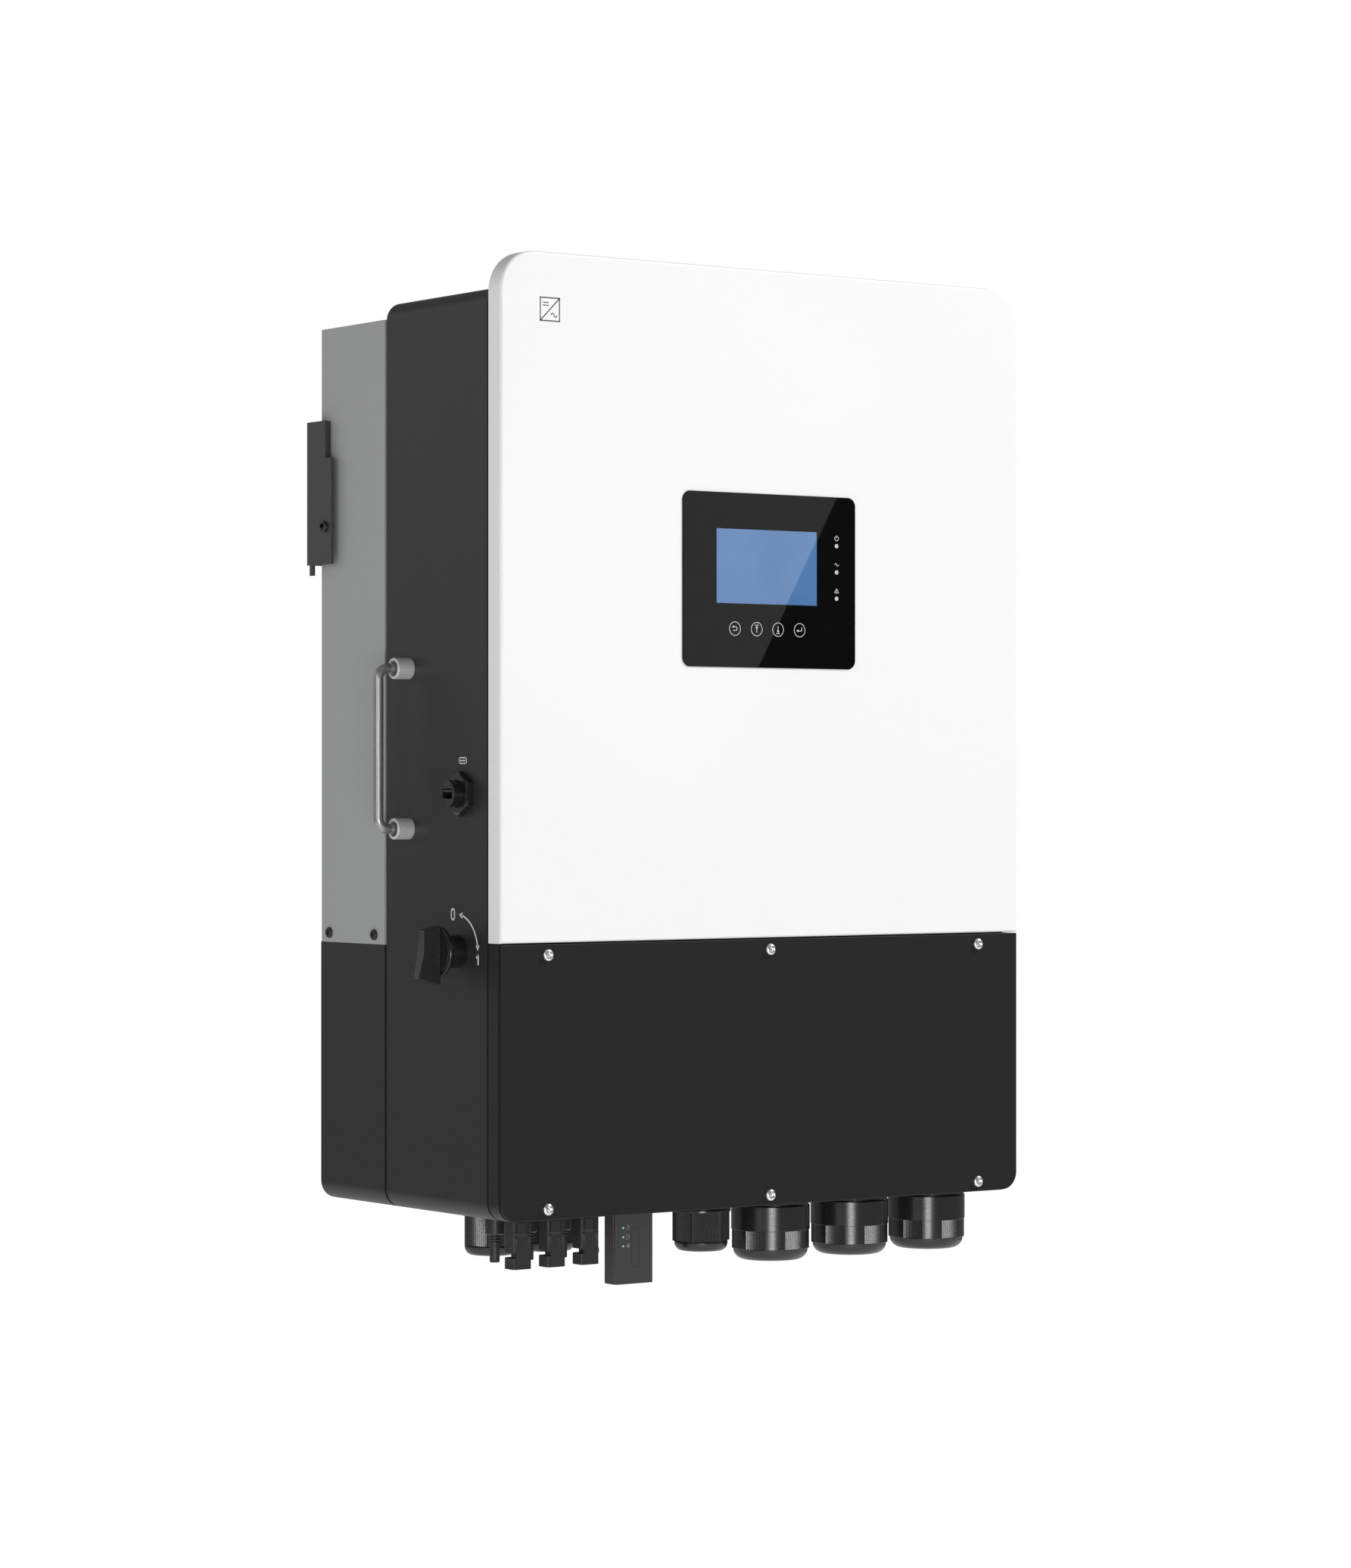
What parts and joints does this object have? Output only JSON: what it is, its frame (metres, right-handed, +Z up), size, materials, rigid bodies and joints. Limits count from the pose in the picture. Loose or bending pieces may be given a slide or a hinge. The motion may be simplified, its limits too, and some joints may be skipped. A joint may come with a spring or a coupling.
{
  "type": "string inverter",
  "caption": "Wall-mounted solar string inverter with a front display, rear fan duct, side switch, bar handles and cable glands below.",
  "frame": {"origin": "centre of the wall bracket's bolt pattern, on the wall plane", "axes": "+Z up, +Y into the wall, so the front with the display faces -Y, and +X is to the right as seen from the front"},
  "size_m": [0.5918, 0.2834, 0.8197],
  "materials": {
    "white_paint": "satin",
    "black_paint": "fine texture, satin",
    "grey_paint": "satin",
    "bracket_paint": "satin",
    "sealing_rubber": "matte",
    "display_glass": "gloss, printed black behind",
    "lcd_blue": "gloss",
    "indicator_lens": "gloss",
    "board_laminate": "satin",
    "zinc_plate": "bright zinc",
    "black_screw": "satin",
    "sheet_steel": "satin",
    "bare_aluminium": "extruded",
    "core_iron": "matte",
    "copper_wire": "enamelled",
    "fan_plastic": "matte",
    "module_plastic": "matte",
    "capacitor_sleeve": "gloss",
    "terminal_plastic": "matte",
    "terminal_brass": "satin",
    "knob_plastic": "satin gloss",
    "satin_steel": "satin",
    "collar_metal": "satin",
    "connector_nylon": "satin",
    "gland_nylon": "satin gloss",
    "stick_plastic": "fine texture"
  },
  "bodies": {
    "cabinet": {"front_cover": "white_paint", "front_gasket": "sealing_rubber", "wiring_gasket": "sealing_rubber", "display_panel": "display_glass", "lcd_module": "lcd_blue", "led_indicators": "indicator_lens", "display_board": "board_laminate", "wiring_cover": "black_paint", "wiring_frame": "black_paint", "cover_screws": "zinc_plate", "main_chassis": "black_paint", "partition_plate": "sheet_steel", "heat_sink": "bare_aluminium", "rear_duct_cover": "grey_paint", "rear_lower_box": "black_paint", "rear_cover_screws": "black_screw", "choke_cores": "core_iron", "choke_windings": "copper_wire", "fan_frames": "fan_plastic", "fan_guards": "zinc_plate", "wall_bracket": "bracket_paint", "hanger_rail": "bracket_paint", "bracket_lock_screws": "black_screw", "power_modules": "module_plastic", "power_board": "board_laminate", "board_standoffs": "sheet_steel", "dc_link_capacitors": "capacitor_sleeve", "relays": "module_plastic", "control_board": "board_laminate", "ac_terminal_blocks": "terminal_plastic", "battery_terminals": "terminal_brass", "earth_bar": "terminal_brass", "comms_board": "board_laminate", "dc_switch_body": "module_plastic", "dc_switch_collar": "knob_plastic", "usb_barrel": "connector_nylon", "usb_nut": "connector_nylon", "usb_insert": "connector_nylon", "handle_left": "satin_steel", "handle_right": "satin_steel", "handle_collars": "collar_metal", "handle_nuts": "zinc_plate", "large_gland_bodies": "gland_nylon", "large_gland_domes": "gland_nylon", "small_gland_bodies": "gland_nylon", "small_gland_domes": "gland_nylon", "gland_seals": "sealing_rubber", "gland_locknuts": "gland_nylon", "solar_sockets": "connector_nylon", "solar_pins": "connector_nylon", "solar_nuts": "connector_nylon", "stick_case": "stick_plastic", "stick_plug": "connector_nylon", "stick_screws": "zinc_plate"},
    "switch_knob": {"dc_switch_knob": "knob_plastic", "dc_switch_shaft": "satin_steel"},
    "fan_1": {"fan_rotor_1": "fan_plastic"},
    "fan_2": {"fan_rotor_2": "fan_plastic"},
    "fan_3": {"fan_rotor_3": "fan_plastic"}
  },
  "joints": [
    {"name": "dc_switch_turn", "type": "hinge", "parent": "cabinet", "child": "switch_knob", "pos_m": [-0.276, -0.2185, -0.3705], "axis": [1, 0, 0], "range_deg": [0, 90]},
    {"name": "fan_spin_1", "type": "hinge", "parent": "cabinet", "child": "fan_1", "pos_m": [-0.16, -0.06025, 0.12], "axis": [0, 0, 1], "continuous": true},
    {"name": "fan_spin_2", "type": "hinge", "parent": "cabinet", "child": "fan_2", "pos_m": [0, -0.06025, 0.12], "axis": [0, 0, 1], "continuous": true},
    {"name": "fan_spin_3", "type": "hinge", "parent": "cabinet", "child": "fan_3", "pos_m": [0.16, -0.06025, 0.12], "axis": [0, 0, 1], "continuous": true}
  ]
}
